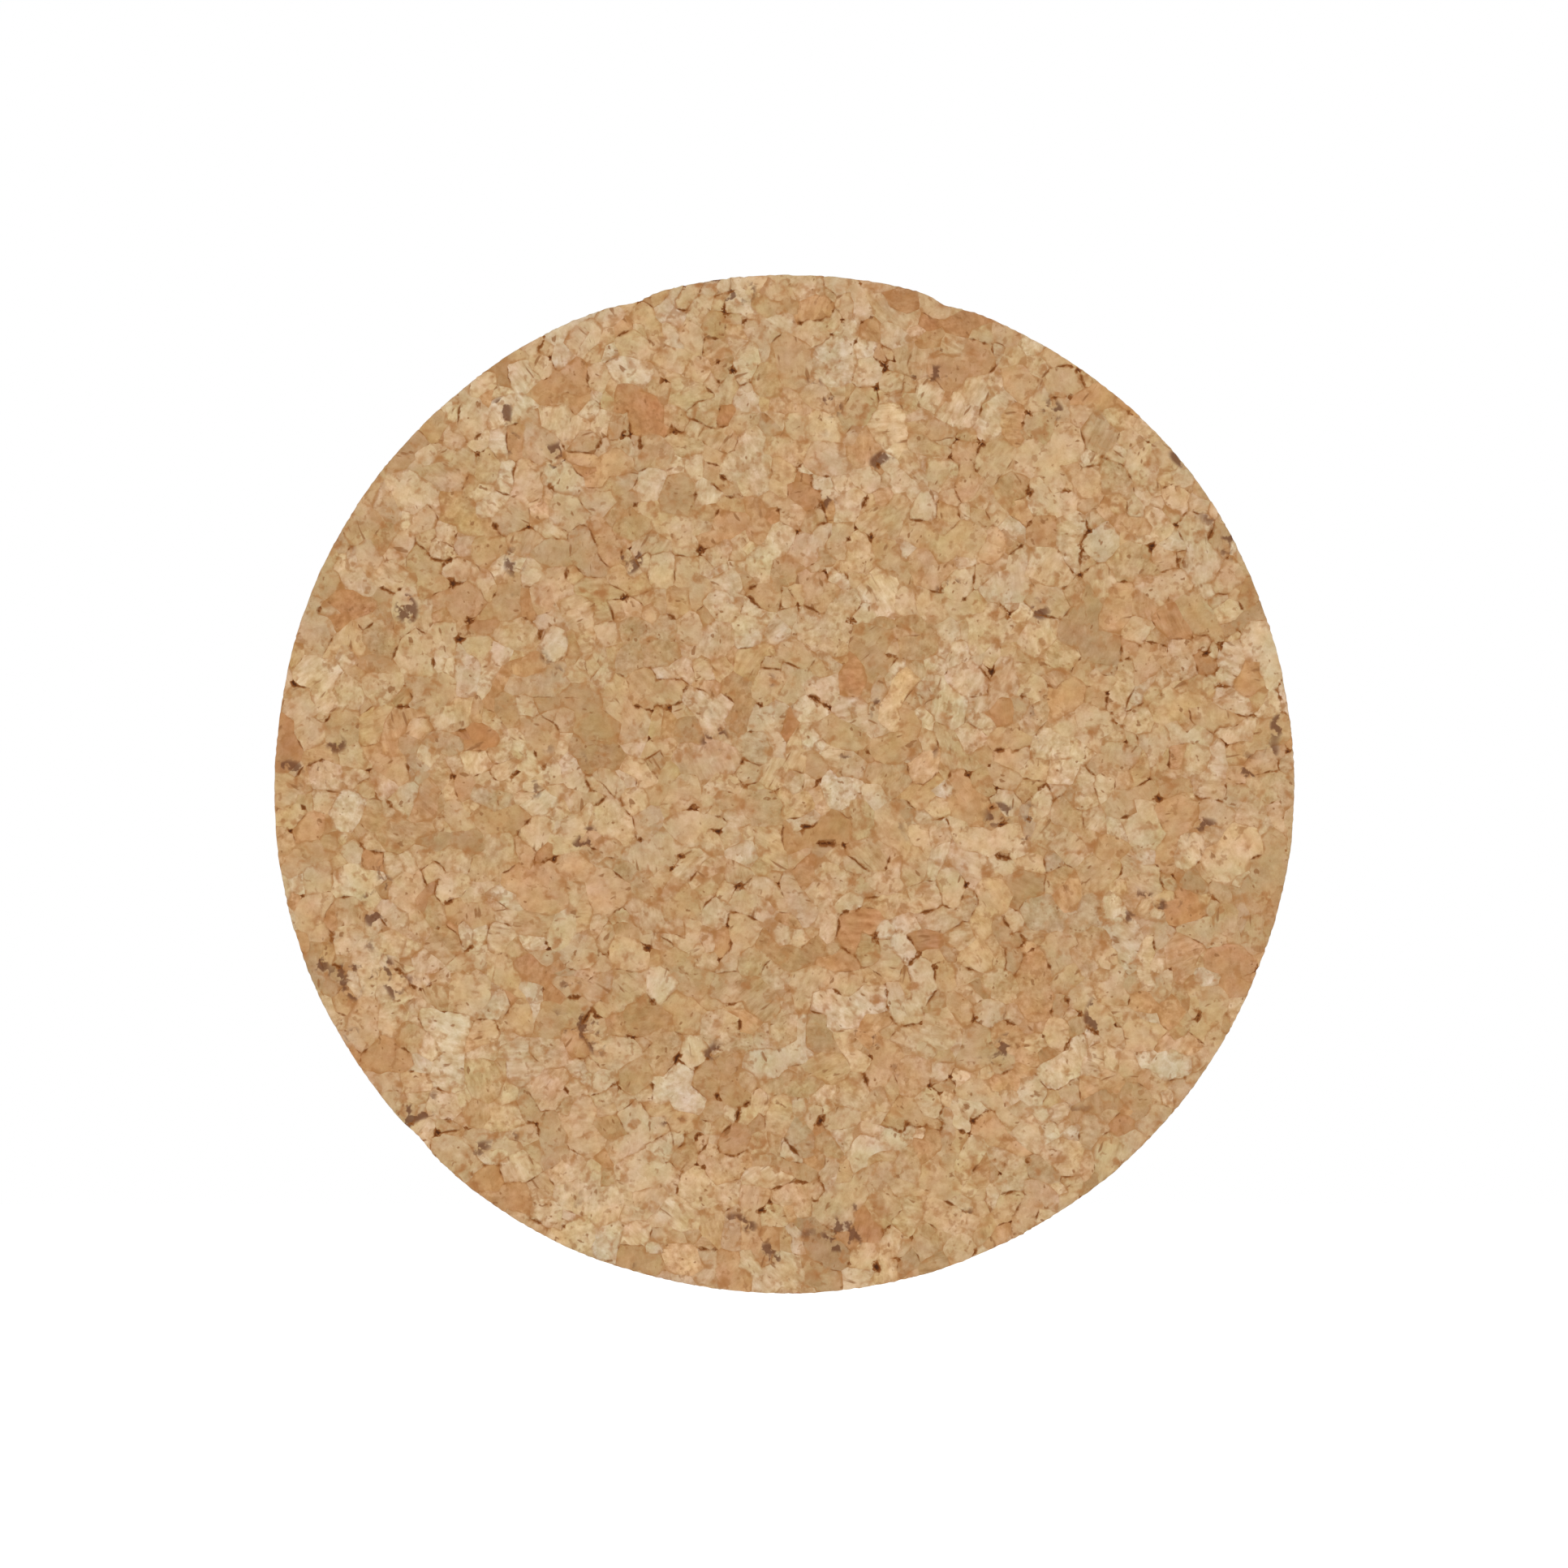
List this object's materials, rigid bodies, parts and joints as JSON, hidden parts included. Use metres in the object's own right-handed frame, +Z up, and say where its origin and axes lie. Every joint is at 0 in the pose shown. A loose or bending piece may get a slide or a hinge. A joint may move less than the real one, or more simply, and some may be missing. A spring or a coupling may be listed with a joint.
{
  "type": "cork bulletin board",
  "caption": "Round frameless pin board of coarse agglomerated cork, held on a wall by squares of double-sided foam tape still under their release liners.",
  "frame": {"origin": "middle of the board's back, on the plane of the wall that it is stuck to", "axes": "+Z up, +Y into the wall, +X to the right of a person facing the board, so the pin face looks along -Y"},
  "size_m": [0.15, 0.0111, 0.15],
  "materials": {
    "cork": "matte, sanded, coarse granules",
    "foam_tape": "matte closed-cell foam",
    "liner_paper": "smooth, slightly glossy"
  },
  "bodies": {
    "root": {"cork_disc": "cork", "foam_pad_top_left": "foam_tape", "foam_pad_top_right": "foam_tape", "foam_pad_bottom_left": "foam_tape", "foam_pad_bottom_right": "foam_tape", "release_liner_top_left": "liner_paper", "release_liner_top_right": "liner_paper", "release_liner_bottom_left": "liner_paper", "release_liner_bottom_right": "liner_paper"}
  },
  "joints": []
}
